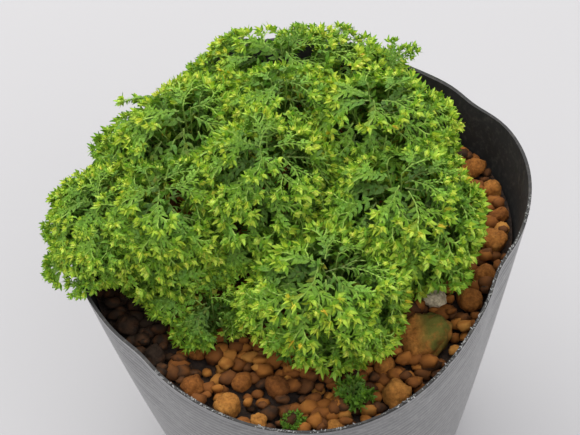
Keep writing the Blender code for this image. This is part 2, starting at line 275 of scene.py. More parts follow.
# Both sides of the floor are filled in round six drain holes, and each hole's two edges are joined.
DRAIN_HOLES = 6
DRAIN_RADIUS = 0.003
DRAIN_RING = 0.017
DRAIN_SIDES = 24
open_edges = [edge for edge in bm.edges if edge.is_boundary]
holes = [[] for _ in range(DRAIN_HOLES)]
for height in (0, FLOOR):
    level_edges = [edge for edge in open_edges if abs(edge.verts[0].co.z - height) < FLOOR / 2]
    for number, hole in enumerate(holes):
        turn = 2 * math.pi * number / DRAIN_HOLES
        spot = Matrix.Translation((DRAIN_RING * math.cos(turn), DRAIN_RING * math.sin(turn), height))
        ring = bmesh.ops.create_circle(bm, segments=DRAIN_SIDES, radius=DRAIN_RADIUS, matrix=spot)
        round_it = list({edge for vert in ring["verts"] for edge in vert.link_edges})
        hole += round_it
        level_edges += round_it
    bmesh.ops.triangle_fill(bm, use_beauty=True, edges=level_edges, normal=(0, 0, 1))
for hole in holes:
    bmesh.ops.bridge_loops(bm, edges=hole)
bmesh.ops.recalc_face_normals(bm, faces=bm.faces)
if bm.calc_volume(signed=True) < 0:
    bmesh.ops.reverse_faces(bm, faces=bm.faces)

# Edges that turn through more than this, in radians, look sharp. The faces turned to the middle or
# upwards are the inside of the pot, which has the duller finish and the film's own near black; the
# outside is painted grey, as painted sheen.
SHARP = 0.6
for edge in bm.edges:
    edge.smooth = edge.calc_face_angle(0) < SHARP
for face in bm.faces:
    middle = face.calc_center_median()
    out = Vector((middle.x, middle.y, 0)).normalized()
    if face.normal.dot(out) < -0.3 or face.normal.z > 0.5:
        face.material_index = 1


def black_film(name, low, high, dusty, rough):
    """Black film: low and high are its scuffed tones, dusty its dust's, rough its two roughnesses. On the
    outside the tones are lifted to grey as painted sheen.
    """
    made, nodes, links, shader, place = nodes_of(name, 0.4)
    scuffs = grain(nodes, links, place, 260, 6)
    tone = ramp(nodes, links, scuffs, (0.30, low), (0.75, high))
    dust = ramp(nodes, links, grain(nodes, links, place, 900, 8), (0.50, (0, 0, 0)), (0.72, (1, 1, 1)))
    tone = blend_colours(nodes, links, dust, tone, dusty)
    links.new(tone, shader.inputs["Base Color"])
    sheen = ramp(nodes, links, scuffs, (0.25, (rough[0],) * 3), (0.80, (rough[1],) * 3))
    links.new(sheen, shader.inputs["Roughness"])
    bump(nodes, links, shader, grain(nodes, links, place, 1500, 5), 0.25, 0.0001)
    return made, shader


# The outside's tones are grey, not black: painted sheen, the pale sheet's reflection on the satin film.
film, shader = black_film(
    "black film", (0.085, 0.084, 0.085), (0.138, 0.136, 0.136), (0.200, 0.195, 0.190), (0.34, 0.46)
)
shader.inputs["IOR"].default_value = 1.7
shader.inputs["Coat Weight"].default_value = 0.7
shader.inputs["Coat Roughness"].default_value = 0.32
lining, shader = black_film(
    "film inside", (0.018, 0.018, 0.018), (0.028, 0.027, 0.027), (0.052, 0.048, 0.043), (0.60, 0.80)
)
shader.inputs["Specular IOR Level"].default_value = 0.25

pot = new_piece("film_pot", bm, film, lining)
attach(pot, "root")
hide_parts("nursery_pot")

# The cut edge is torn into short burrs along the front and the right. Their pale grey is partly the
# torn film's own and partly painted light, caught on the thin edges.
TORN_ARC = (-128, -6)
TORN_BURRS = 380
torn = bmesh.new()
chance = random.Random(3)
for number in range(TORN_BURRS):
    share = (number + chance.random()) / TORN_BURRS
    angle = math.radians(TORN_ARC[0] + (TORN_ARC[1] - TORN_ARC[0]) * share)
    reach = wall_radius(angle, POT_HEIGHT) - FILM * chance.uniform(0.2, 0.8)
    height = POT_HEIGHT + rim_rise(angle)
    if noise.noise(Vector((angle * 9, 0, 0))) < chance.uniform(-0.5, 0.3):
        continue
    size = chance.uniform(0.00008, 0.00026)
    lean = Vector((chance.gauss(0, 1), chance.gauss(0, 1), chance.uniform(0.6, 2.2))).normalized()
    spot = Vector((reach * math.cos(angle), reach * math.sin(angle), height)) + lean * size * 0.5
    placed = Matrix.Translation(spot) @ lean.to_track_quat("Z", "Y").to_matrix().to_4x4()
    bmesh.ops.create_cone(
        torn,
        cap_ends=True,
        segments=4,
        radius1=size * 0.9,
        radius2=size * 0.35,
        depth=size * 2.4,
        matrix=placed,
    )
frayed, nodes, links, shader, place = nodes_of("frayed film", 0.6)
# Pale tones: partly the torn film's own, partly painted light on the thin edges.
tone = ramp(
    nodes, links, grain(nodes, links, place, 1200, 3), (0.35, (0.07, 0.07, 0.07)), (0.65, (0.30, 0.30, 0.29))
)
links.new(tone, shader.inputs["Base Color"])
burrs = new_piece("torn_edge", torn, frayed)
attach(burrs, "root")

# ---------------------------------------------------------------- spike moss
# Each tuft is many flat, forked sprays set round it like shingles, with their stems meeting inside.
# Small pointed leaves stand in ranks along each twig and crowd into a paler star at its tip.

# A tuft is a dome: its middle and its half sizes as shares of the mouth's radius, then its middle's
# height over the mix, its half height, and the height its lowest sprays keep to.
TUFTS = {
    "front": ((0.08, -0.54), (0.32, 0.28), 0.014, 0.0120, 0.0085),
    "right": ((0.42, -0.19), (0.32, 0.29), 0.014, 0.0140, 0.0085),
    "back_right": ((0.37, 0.22), (0.34, 0.29), 0.014, 0.0150, 0.0085),
    "centre": ((-0.11, -0.04), (0.31, 0.31), 0.016, 0.0170, 0.0085),
    "left": ((-0.53, -0.09), (0.31, 0.29), 0.014, 0.0135, 0.0085),
    "far_left": ((-0.77, -0.08), (0.24, 0.28), 0.017, 0.0090, 0.0145),
    "back_left": ((-0.41, 0.29), (0.36, 0.29), 0.014, 0.0140, 0.0085),
    "crown": ((-0.02, 0.33), (0.27, 0.26), 0.015, 0.0165, 0.0085),
    "back": ((0.03, 0.62), (0.50, 0.28), 0.013, 0.0130, 0.0085),
    "front_left": ((-0.37, -0.46), (0.21, 0.18), 0.010, 0.0080, 0.0070),
}

# The leaves' colours are in a map: across it they go from old to fresh, up it from bluish to red.
FRESHNESS = "OFBake"
LEAF_THICKNESS = 0.22
own_maps = {}


def map_along(bm):
    """The map of a shape that lies along +X: its length across, its width up."""
    chart = bm.loops.layers.uv.new(FRESHNESS)
    for face in bm.faces:
        for loop in face.loops:
            loop[chart].uv = (loop.vert.co.x, loop.vert.co.y)


def shape_mesh(name, bm):
    """A small shape's mesh. Its map is kept apart, because copies of a mesh may share theirs with it."""
    mesh = bpy.data.meshes.new(name)
    bm.to_mesh(mesh)
    bm.free()
    chart = mesh.uv_layers[FRESHNESS].uv
    places = np.empty(len(chart) * 2, np.float32)
    chart.foreach_get("vector", places)
    own_maps[mesh.name] = places.reshape(-1, 2)
    return mesh


def leaf(name, bow):
    """A closed leaf along +X, 1 long and 1 wide: broad, pointed, ridged, bent up or down by its bow."""
    bm = bmesh.new()
    bmesh.ops.create_uvsphere(bm, u_segments=3, v_segments=4, radius=0.5)
    bmesh.ops.rotate(bm, cent=(0, 0, 0), matrix=Matrix.Rotation(math.pi / 2, 3, "Y"), verts=bm.verts)
    bmesh.ops.translate(bm, vec=(0.5, 0, 0), verts=bm.verts)
    for vert in bm.verts:
        x, y, z = vert.co
        breadth = math.sin(math.pi * min(max(x, 0), 1) ** 0.75) ** 0.8
        midrib = abs(z) > abs(y)
        vert.co.y = 0 if midrib else math.copysign(0.5 * breadth, y)
        vert.co.z = LEAF_THICKNESS * breadth if midrib else 0
        vert.co.z += bow * x**2
    bmesh.ops.triangulate(bm, faces=bm.faces)
    bmesh.ops.recalc_face_normals(bm, faces=bm.faces)
    map_along(bm)
    return shape_mesh(name, bm)


side_leaf = leaf("side leaf", -0.12)
tip_leaf = leaf("tip leaf", 0.22)


def add_shape(bm, shape, matrix, fresh, tint, finish=0):
    """A copy of a small shape: fresh is where it lies across the map, tint how far up."""
    copy = shape.copy()
    copy.transform(matrix)
    places = own_maps[shape.name].copy()
    places[:, 0] = fresh[0] + (fresh[1] - fresh[0]) * places[:, 0]
    places[:, 1] = tint + 0.02 * places[:, 1]
    copy.uv_layers[FRESHNESS].uv.foreach_set("vector", places.ravel())
    if finish:
        copy.polygons.foreach_set("material_index", np.full(len(copy.polygons), finish, np.int32))
    bm.from_mesh(copy)
    bpy.data.meshes.remove(copy)


def twig_shape(sides):
    """A closed, tapering twig along +X, 1 long and 1 in radius, whose ends lie inside its neighbours."""
    bm = bmesh.new()
    bmesh.ops.create_cone(bm, cap_ends=True, segments=sides, radius1=1, radius2=0.8, depth=1)
    bmesh.ops.rotate(bm, cent=(0, 0, 0), matrix=Matrix.Rotation(math.pi / 2, 3, "Y"), verts=bm.verts)
    bmesh.ops.translate(bm, vec=(0.5, 0, 0), verts=bm.verts)
    bmesh.ops.triangulate(bm, faces=bm.faces)
    map_along(bm)
    return shape_mesh("twig", bm)


twig = twig_shape(4)


def along(start, ahead, up, length, width, thick):
    """The matrix that lays a unit shape from start along a direction, with its upper side up."""
    ahead = ahead.normalized()
    side = up.cross(ahead).normalized()
    top = ahead.cross(side)
    axes = Matrix((ahead * length, side * width, top * thick)).transposed().to_4x4()
    return Matrix.Translation(start) @ axes


def turned(direction, axis, degrees):
    """A direction turned round an axis."""
    return Matrix.Rotation(math.radians(degrees), 3, axis) @ direction


LEAF_LENGTH = 0.00182
LEAF_WIDTH = 0.00132
LEAF_STEP = 0.00058
TIP_LENGTH = 0.00185
TIP_WIDTH = 0.00130
TWIG_RADIUS = 0.00014


def leafy_twig(bm, start, ahead, up, length, freshness, chance, spacing, size=1.0):
    """One stretch of twig with a rank of leaves down each side and a few small ones along its top."""
    lay = along(start, ahead, up, length * 1.06, TWIG_RADIUS, TWIG_RADIUS)
    add_shape(bm, twig, lay, (freshness, freshness), chance.uniform(0.2, 0.8), 1)
    count = max(round(length / spacing), 1)
    for number in range(count):
        spot = start + ahead * (length * (number + 0.5) / count)
        side = 1 if number % 2 else -1
        grown = size * chance.uniform(0.85, 1.1)
        out = turned(ahead, up, side * chance.uniform(38, 58)) - up * chance.uniform(-0.10, 0.20)
        face = (up + ahead * 0.15 + turned(ahead, up, side * 90) * chance.uniform(0.0, 0.4)).normalized()
        lay = along(spot, out, face, LEAF_LENGTH * grown, LEAF_WIDTH * grown, LEAF_WIDTH)
        add_shape(bm, side_leaf, lay, (freshness - 0.06, freshness + 0.10), chance.random())
        if number % 3 == 1:
            out = turned(ahead, up, side * chance.uniform(5, 25)) + up * chance.uniform(0.15, 0.35)
            lay = along(spot + up * TWIG_RADIUS, out, up, LEAF_LENGTH * 0.60, LEAF_WIDTH * 0.65, LEAF_WIDTH)
            add_shape(bm, side_leaf, lay, (freshness, freshness + 0.16), chance.random())


# The leaves of a star, the outermost first: the angle round its axis, the angle it opens to, its size,
# and how fresh it is at its base and at its tip.
STAR_LEAVES = (
    (50, 66, 1.00, 0.66, 0.46),
    (140, 62, 0.95, 0.66, 0.46),
    (220, 62, 0.95, 0.66, 0.46),
    (310, 66, 1.00, 0.66, 0.46),
    (0, 42, 1.00, 0.88, 0.60),
    (120, 40, 1.00, 0.90, 0.62),
    (240, 40, 1.00, 0.90, 0.62),
    (75, 15, 0.75, 1.00, 0.78),
    (260, 18, 0.70, 1.00, 0.82),
)


def star(bm, spot, ahead, up, chance, size):
    """The growing tip: a rosette of broad pointed leaves cupped round a paler bud, turned to the light."""
    axis = (ahead + up * chance.uniform(0.3, 0.9)).normalized()
    level = (up - axis * up.dot(axis)).normalized()
    for azimuth, opening, share, base, tip in STAR_LEAVES:
        around = turned(level, axis, azimuth + chance.uniform(-14, 14))
        opening = math.radians(opening + chance.uniform(-8, 8))
        out = axis * math.cos(opening) + around * math.sin(opening)
        face = axis * math.sin(opening) - around * math.cos(opening)
        grown = size * share * chance.uniform(0.88, 1.08)
        lay = along(spot - axis * 0.0003, out, face, TIP_LENGTH * grown, TIP_WIDTH * grown, TIP_WIDTH)
        add_shape(bm, tip_leaf, lay, (base, tip + chance.uniform(-0.03, 0.05)), chance.random())


def grow(bm, start, ahead, up, length, forks, chance):
    """A twig that forks again and again in one plane, each fork's twigs shorter, to its stars."""
    freshness = 0.53 - 0.10 * forks
    size = 0.80 + 0.08 * forks
    middle = start + ahead * (length * 0.5)
    leafy_twig(bm, start, ahead, up, length * 0.5, freshness, chance, LEAF_STEP, size)
    bent = turned(ahead, up, chance.uniform(-12, 12))
    leafy_twig(bm, middle, bent, up, length * 0.5, freshness + 0.06, chance, LEAF_STEP, size)
    end = middle + bent * (length * 0.5)
    if forks == 0:
        star(bm, end, bent, up, chance, chance.uniform(0.85, 1.12))
        return
    strong = chance.choice((-1, 1))
    for side in (-1, 1):
        degrees = side * chance.uniform(24, 40) * (0.7 if side == strong else 1.1)
        heading = (turned(bent, up, degrees) + up * chance.uniform(-0.10, 0.22)).normalized()
        above = (up - heading * up.dot(heading)).normalized()
        above = turned(above, heading, chance.uniform(-18, 18))
        left = forks - 1 if side == strong or chance.random() < 0.7 else max(forks - 2, 0)
        grow(bm, end, heading, above, length * chance.uniform(0.72, 0.92), left, chance)


def spray(number, forks, first_length):
    """One whole spray along +X with its upper side to +Z."""
    chance = random.Random(100 + number)
    bm = bmesh.new()
    bm.loops.layers.uv.new(FRESHNESS)
    grow(bm, Vector((0, 0, 0)), Vector((1, 0, 0)), Vector((0, 0, 1)), first_length, forks, chance)
    return shape_mesh(f"spray {number}", bm)


SPRAY_LENGTH = 0.0085
sprays = [spray(number, 3, 0.0027) for number in range(8)]
young_shoots = [spray(80 + number, 1, 0.0020) for number in range(4)]
old_sprays = [spray(50 + number, 2, 0.0028) for number in range(4)]


def dome_point(shape, polar, azimuth):
    """A point on a tuft's dome and its outward normal. The polar angle counts from its top."""
    middle, half_sizes = shape
    unit = Vector((
        math.sin(polar) * math.cos(azimuth), math.sin(polar) * math.sin(azimuth), math.cos(polar)
    ))
    spot = Vector([m + h * u for m, h, u in zip(middle, half_sizes, unit)])
    spot += unit * 0.0012 * noise.noise(spot * 220)
    normal = Vector([u / h for h, u in zip(half_sizes, unit)]).normalized()
    return spot, normal


def lay_spray(bm, mesh, spot, ahead, up, size, curl, lift, fresh_shift, tint_shift):
    """A copy of a spray, bent over a curl of this radius, lifted by a slope, with its map shifted."""
    copy = mesh.copy()
    co = np.empty(len(copy.vertices) * 3, np.float32)
    copy.vertices.foreach_get("co", co)
    x, y, z = (co.reshape(-1, 3) * size).T
    side = up.cross(ahead).normalized()
    ahead = side.cross(up).normalized()
    turn = x / curl
    forward = (curl + z) * np.sin(turn)
    rise = (curl + z) * np.cos(turn) - curl - y * y / (2 * abs(curl)) * np.sign(curl) + x * lift
    placed = (
        np.array(spot)
        + forward[:, None] * np.array(ahead)
        + y[:, None] * np.array(side)
        + rise[:, None] * np.array(up)
    )
    copy.vertices.foreach_set("co", placed.astype(np.float32).ravel())
    places = own_maps[mesh.name].copy()
    places[:, 0] = np.clip(places[:, 0] + fresh_shift, 0.01, 0.99)
    places[:, 1] = np.clip(0.02 + 0.6 * places[:, 1] + tint_shift, 0.01, 0.99)
    copy.uv_layers[FRESHNESS].uv.foreach_set("vector", places.ravel())
    bm.from_mesh(copy)
    bpy.data.meshes.remove(copy)


def shape_of(name):
    """A tuft's middle and its half sizes."""
    plan, half_plan, height, half_height, _ = TUFTS[name]
    middle = Vector((plan[0] * MOUTH_RADIUS, plan[1] * MOUTH_RADIUS, MIX_LEVEL + height))
    return middle, Vector((half_plan[0] * MOUTH_RADIUS, half_plan[1] * MOUTH_RADIUS, half_height))


BURIED = 0.62


def buried(spot, own):
    """Whether a spot lies deep inside another tuft: a whole dome counts 1."""
    for name in TUFTS:
        if name == own:
            continue
        middle, half_sizes = shape_of(name)
        away = [(s - m) / h for s, m, h in zip(spot, middle, half_sizes)]
        if sum(part * part for part in away) < BURIED:
            return True
    return False


# The rings of sprays down a dome, each an angle from its top and a count: fresh ones outside, older and
# darker ones under them.
RINGS = ((6, 4), (22, 8), (40, 12), (58, 15), (77, 16), (98, 11))
OLD_RINGS = ((8, 4), (35, 8), (65, 11), (95, 11))
OLD_INSET = 0.22
USUAL_HALF_WIDTH = 0.0138
SPRAY_CURL = 0.016
SPRAY_SINK = 0.0012

# Stragglers that reach out of a tuft, each from one point to another. Each is two sprays, side by side.
LOOSE_TURNS = (-9, 10)
LOOSE_CURL = 0.030
LOOSE_LIFT = 0.05
LOOSE_SHIFT = -0.10
LOOSE = {
    "back": (
        ((0.0215, 0.0255, 0.0840), (0.0255, 0.0306, 0.0860)),
        ((-0.0130, 0.0280, 0.0840), (-0.0160, 0.0325, 0.0858)),
        ((-0.0060, 0.0310, 0.0865), (-0.0088, 0.0372, 0.0878)),
        ((0.0030, 0.0300, 0.0885), (0.0052, 0.0352, 0.0895)),
    ),
    "back_left": (
        ((-0.0300, 0.0120, 0.0840), (-0.0358, 0.0180, 0.0820)),
        ((-0.0220, 0.0210, 0.0840), (-0.0245, 0.0255, 0.0835)),
        ((-0.0305, 0.0085, 0.0850), (-0.0362, 0.0120, 0.0830)),
    ),
    "left": (
        ((-0.0360, 0.0000, 0.0860), (-0.0425, 0.0040, 0.0835)),
    ),
    "centre": (
        ((-0.0120, -0.0110, 0.0830), (-0.0115, -0.0165, 0.0785)),
    ),
    "back_right": (
        ((0.0245, 0.0145, 0.0850), (0.0298, 0.0175, 0.0828)),
    ),
    "far_left": (
        ((-0.0370, -0.0120, 0.0805), (-0.0412, -0.0163, 0.0778)),
        ((-0.0400, -0.0020, 0.0820), (-0.0463, -0.0030, 0.0790)),
        ((-0.0400, -0.0080, 0.0800), (-0.0468, -0.0092, 0.0760)),
        ((-0.0390, 0.0030, 0.0830), (-0.0452, 0.0022, 0.0808)),
    ),
    "front_left": (
        ((-0.0180, -0.0190, 0.0745), (-0.0230, -0.0250, 0.0705)),
        ((-0.0225, -0.0150, 0.0760), (-0.0270, -0.0200, 0.0724)),
        ((-0.0120, -0.0180, 0.0755), (-0.0125, -0.0235, 0.0725)),
        ((-0.0160, -0.0120, 0.0800), (-0.0145, -0.0175, 0.0765)),
    ),
    "front": (
        ((0.0060, -0.0290, 0.0775), (0.0070, -0.0350, 0.0730)),
        ((0.0100, -0.0270, 0.0780), (0.0125, -0.0325, 0.0735)),
    ),
    "right": (
        ((0.0230, -0.0165, 0.0800), (0.0290, -0.0215, 0.0748)),
    ),
}

# The front tuft has no low sprays on its bare side, over the open granules. A tuft's spread is how far
# out in its dome its sprays start and how full its rings are. Some tufts carry painted light: the back
# and left ones are shifted paler, as painted light from behind, and the front one a little darker, as
# painted shade.
BARE_SIDE = math.radians(218)
USUAL_SPREAD = (0.93, 1.0)
SPREAD = {
    "front_left": (0.55, 0.18),
    "front": (0.89, 1.0),
    "right": (0.95, 1.0),
    "back_right": (0.97, 1.0),
    "back": (0.98, 1.0),
    "far_left": (0.88, 0.9),
    "back_left": (0.98, 1.0),
}
PAINTED_LIGHT_SHIFT = {"front": -0.012, "back": 0.03, "crown": 0.015, "back_left": 0.025, "far_left": 0.02, "left": 0.01}


def map_parts(nodes, links, name):
    """How far across and how far up a map a point lies, as two sockets."""
    chart = nodes.new("ShaderNodeUVMap")
    chart.uv_map = name
    parts = nodes.new("ShaderNodeSeparateXYZ")
    links.new(chart.outputs["UV"], parts.inputs[0])
    return parts.outputs["X"], parts.outputs["Y"]


foliage, nodes, links, shader, _ = nodes_of("spike moss leaf", 0.5)
across, upward = map_parts(nodes, links, FRESHNESS)
green = ramp(
    nodes, links, across,
    (0.00, (0.088, 0.180, 0.030)),
    (0.30, (0.158, 0.305, 0.034)),
    (0.55, (0.250, 0.445, 0.040)),
    (0.78, (0.560, 0.690, 0.076)),
    (1.00, (0.830, 0.830, 0.190)),
)
cast = ramp(
    nodes, links, upward,
    (0.00, (0.80, 0.97, 1.02)),
    (0.40, (0.95, 1.00, 0.92)),
    (0.86, (1.05, 1.00, 0.82)),
    (1.00, (1.50, 0.75, 0.60)),
)
tone = blend_colours(nodes, links, 1.0, green, cast, "MULTIPLY")
links.new(tone, shader.inputs["Base Color"])
shader.inputs["Specular IOR Level"].default_value = 0.30

stalk, nodes, links, shader, _ = nodes_of("green stem", 0.6)
shader.inputs["Specular IOR Level"].default_value = 0.20
across, _ = map_parts(nodes, links, FRESHNESS)
tone = ramp(
    nodes, links, across,
    (0.00, (0.105, 0.145, 0.035)),
    (0.35, (0.200, 0.320, 0.052)),
    (1.00, (0.350, 0.500, 0.080)),
)
links.new(tone, shader.inputs["Base Color"])

for name in TUFTS:
    chance = random.Random(name)
    middle, half_sizes = shape_of(name)
    hem = MIX_LEVEL + TUFTS[name][-1]
    bm = bmesh.new()
    bm.loops.layers.uv.new(FRESHNESS)
    layers = [(*ring, True) for ring in RINGS] + [(*ring, False) for ring in OLD_RINGS]
    reach, fullness = SPREAD.get(name, USUAL_SPREAD)
    grown = min(max(half_sizes.x / USUAL_HALF_WIDTH, 0.72), 1.04)
    # Painted light: this tuft's leaves are shifted paler or darker by where the light falls.
    paler = PAINTED_LIGHT_SHIFT.get(name, 0)
    for polar_degrees, count, outermost in layers:
        spin = chance.uniform(0, 2 * math.pi)
        count = round(count * fullness)
        for number in range(count):
            polar = math.radians(polar_degrees + chance.uniform(-7, 7))
            azimuth = spin + 2 * math.pi * (number + chance.uniform(-0.3, 0.3)) / count
            shape = (middle, half_sizes * (reach if outermost else reach - OLD_INSET))
            spot, normal = dome_point(shape, polar, azimuth)
            outer, _ = dome_point(shape, polar + 0.3, azimuth)
            if spot.z < hem - 0.001 or buried(outer, name):
                continue
            bare = polar_degrees > 70 and math.cos(azimuth - BARE_SIDE) > 0.7
            if name == "front" and bare:
                continue
            down_slope = (outer - spot).normalized()
            ahead = turned(down_slope, normal, chance.uniform(-32, 32))
            up = turned(normal, down_slope, chance.uniform(-18, 18))
            start = spot - normal * SPRAY_SINK
            lift = chance.uniform(0.0, 0.22) if polar_degrees < 80 else chance.uniform(-0.10, 0.08)
            family = sprays if outermost else old_sprays
            lay_spray(
                bm,
                family[chance.randrange(len(family))],
                start,
                ahead,
                up,
                grown * (chance.uniform(0.85, 1.08) if outermost else chance.uniform(1.1, 1.3)),
                SPRAY_CURL * grown,
                lift,
                chance.uniform(-0.045, 0.045) + (paler if outermost else 6 * paler - 0.34),
                chance.uniform(0.0, 0.34),
            )
            if outermost and number % 3 == 0:
                root = middle - Vector((0, 0, half_sizes.z * (0.35 + polar / 4)))
                bend = root.lerp(start, 0.55) + Vector((0, 0, 0.0012))
                for a, b, fresh in ((root, bend, 0.12), (bend, start, 0.25)):
                    direction = (b - a).normalized()
                    above = (normal - direction * normal.dot(direction)).normalized()
                    leafy_twig(bm, a, direction, above, (b - a).length, fresh, chance, 0.0010, 1.1)
    for start, tip in LOOSE.get(name, ()):
        start, tip = Vector(start), Vector(tip)
        ahead = (tip - start).normalized()
        out = Vector((start.x, start.y, 0)).normalized() * 0.4 + Vector((0, 0, 1))
        up = (out - ahead * out.dot(ahead)).normalized()
        size = (tip - start).length / SPRAY_LENGTH
        for turn in LOOSE_TURNS:
            way = turned(ahead, up, turn)
            shoot = sprays[chance.randrange(len(sprays))]
            tint = chance.uniform(0, 0.3)
            lay_spray(bm, shoot, start, way, up, size, LOOSE_CURL, LOOSE_LIFT, LOOSE_SHIFT, tint)
    tuft = new_piece(f"sprays_{name}", bm, foliage, stalk, smooth=False)
    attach(tuft, "root")
    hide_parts(f"tuft_{name}")

# ---------------------------------------------------------------- stems
# Two wiry stems come out of the mix under each tuft and carry it. They are living stalks, dull green,
# thinner towards the top, with a small leaf at each joint.

STEM_RADIUS = 0.00045
STEM_JOINTS = 9
for name in TUFTS:
    for label in ("a", "b"):
        node = f"stem_{name}_{label}"
        chance = random.Random(node)
        low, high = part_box(node)
        foot = Vector(((low.x + high.x) / 2, (low.y + high.y) / 2, low.z - 0.001))
        head = Vector((foot.x, foot.y, high.z + 0.003))
        sway = Vector((chance.uniform(-1, 1), chance.uniform(-1, 1), 0)) * 0.0008
        bm = bmesh.new()
        bm.loops.layers.uv.new(FRESHNESS)
        for step in range(STEM_JOINTS):
            share, after = step / STEM_JOINTS, (step + 1) / STEM_JOINTS
            a = foot.lerp(head, share) + sway * math.sin(3.1 * share)
            b = foot.lerp(head, after) + sway * math.sin(3.1 * after)
            thick = STEM_RADIUS * (1 - 0.4 * share)
            lay = along(a, b - a, Vector((1, 0, 0)), (b - a).length * 1.05, thick, thick)
            add_shape(bm, twig, lay, (0.10 + 0.2 * share, 0.12 + 0.2 * share), 0.5, 1)
            turn = chance.uniform(0, 2 * math.pi)
            out = Vector((math.cos(turn), math.sin(turn), 0.9)).normalized()
            lay = along(a, out, Vector((0, 0, 1)), LEAF_LENGTH, LEAF_WIDTH, LEAF_WIDTH)
            add_shape(bm, side_leaf, lay, (0.08, 0.3), chance.random())
        stem = new_piece(f"stalk_{name}_{label}", bm, foliage, stalk, smooth=False)
        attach(stem, "root")
        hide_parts(node)

# ---------------------------------------------------------------- seedlings
# Two young plants that came up by themselves among the granules, each a whorl of short leafy shoots
# from one root. They are shaded, so they are darker than the cushion.

SHOOT_TURN = 2.4
for name, count, size in (("seedling_front", 16, 0.85), ("seedling_rim", 9, 0.62)):
    chance = random.Random(name)
    low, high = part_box(name)
    middle = (low + high) / 2
    bm = bmesh.new()
    bm.loops.layers.uv.new(FRESHNESS)
    for number in range(count):
        azimuth = SHOOT_TURN * number
        slope = 0.1 + 1.5 * number / count
        out = Vector((math.cos(azimuth), math.sin(azimuth), slope)).normalized()
        up = (Vector((0, 0, 1)) - out * out.z).normalized()
        start = Vector((middle.x, middle.y, low.z + (high.z - low.z) * chance.uniform(0.15, 0.35)))
        shoot = young_shoots[chance.randrange(len(young_shoots))]
        grown = size * chance.uniform(0.85, 1.1)
        lay_spray(bm, shoot, start, out, up, grown, 0.020, 0.0, -0.34, chance.uniform(0.0, 0.2))
    young = new_piece(f"young_{name}", bm, foliage, stalk, smooth=False)
    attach(young, "root")
    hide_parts(name)

# ---------------------------------------------------------------- fired clay granules
# Porous, orange-brown granules of fired clay, broken and worn, lie loose on the mix. The largest has
# a little green algae on its right side, and finer crumbs of the same clay fill in between.

ALGAE_EDGE = (0.0190, 0.0215)

def clay(name, tones, pitted, algae):
    """Dull fired clay. Across its map is the granule's tone, and up it painted light, lighter on top and
    darker underneath.
    """
    made, nodes, links, shader, place = nodes_of(name, 0.85)
    shader.inputs["Specular IOR Level"].default_value = 0.2
    across, upward = map_parts(nodes, links, tones)
    tone = ramp(
        nodes, links, across,
        (0.00, (0.016, 0.010, 0.006)),
        (0.22, (0.090, 0.034, 0.010)),
        (0.55, (0.180, 0.062, 0.012)),
        (0.80, (0.270, 0.102, 0.018)),
        (1.00, (0.370, 0.170, 0.036)),
    )
    # Painted light: the tone is multiplied lighter up the map, darker down it.
    painted_light_and_shade = ramp(nodes, links, upward, (0.0, (0.45, 0.42, 0.40)), (1.0, (1.25, 1.25, 1.25)))
    tone = blend_colours(nodes, links, 1.0, tone, painted_light_and_shade, "MULTIPLY")
    if pitted:
        pits = grain(nodes, links, place, 1800, 6)
        specks = ramp(nodes, links, pits, (0.35, (0.62, 0.58, 0.55)), (0.65, (1.15, 1.15, 1.15)))
        tone = blend_colours(nodes, links, 1.0, tone, specks, "MULTIPLY")
        bump(nodes, links, shader, grain(nodes, links, place, 2600, 8, 0.7), 0.8, 0.0003)
    if algae:
        apart = nodes.new("ShaderNodeSeparateXYZ")
        links.new(place, apart.inputs[0])
        side = nodes.new("ShaderNodeMapRange")
        side.inputs["From Min"].default_value = ALGAE_EDGE[0]
        side.inputs["From Max"].default_value = ALGAE_EDGE[1]
        links.new(apart.outputs["X"], side.inputs["Value"])
        film_of_algae = grain(nodes, links, place, 300, 4)
        patch = ramp(nodes, links, film_of_algae, (0.36, (0, 0, 0)), (0.52, (0.9, 0.9, 0.9)))
        patch = blend_colours(nodes, links, side.outputs["Result"], (0.0, 0.0, 0.0), patch)
        tone = blend_colours(nodes, links, patch, tone, (0.085, 0.095, 0.015))
    links.new(tone, shader.inputs["Base Color"])
    return made


TONES = "Tones"
fired_clay = clay("fired clay", TONES, pitted=True, algae=False)
mossy_clay = clay("fired clay with algae", TONES, pitted=True, algae=True)
fine_clay = clay("fine fired clay", FRESHNESS, pitted=False, algae=False)


def chip(bm, chance, centre, radius, chips):
    """Knocks flat, worn chips off a lump."""
    for _ in range(chips):
        way = Vector((chance.gauss(0, 1), chance.gauss(0, 1), chance.gauss(0, 1))).normalized()
        depth = radius * chance.uniform(0.68, 0.88)
        for vert in bm.verts:
            over = (vert.co - centre).dot(way) - depth
            if over > 0:
                vert.co -= way * over * 0.85


def tone_map(bm, chart, tone, centre, radius, blotches):
    """Paints a lump: one tone, drifting, with finer blotches, and painted light up its map: lighter on top,
    darker underneath, unevenly.
    """
    shift = Vector((tone * 40, 0, 0))
    for face in bm.faces:
        for loop in face.loops:
            spot = loop.vert.co
            way = (spot - centre) / radius
            drift = 0.10 * noise.noise(spot * 600 + shift) + blotches * noise.noise(spot * 1900 + shift)
            # Painted light: the lump's top is lighter, its underside darker.
            light = 0.58 + 0.28 * way.z + 0.22 * noise.noise(way * 1.7 + shift) + blotches * drift
            loop[chart].uv = (min(max(tone + drift, 0.01), 0.99), min(max(light, 0.01), 0.99))


# Painted shadow: granules left of this edge are darkened, fading in over this width.
PAINTED_SHADOW_EDGE = -0.0275
PAINTED_SHADOW_FADE = 0.0070
DARKEST = 0.04


def tone_with_painted_shadow(tone, x):
    """The granules on the left side, in the shadow of the plant and the pot's wall, are painted darker:
    painted shadow.
    """
    return tone * min(max((x - PAINTED_SHADOW_EDGE) / PAINTED_SHADOW_FADE, DARKEST), 1)


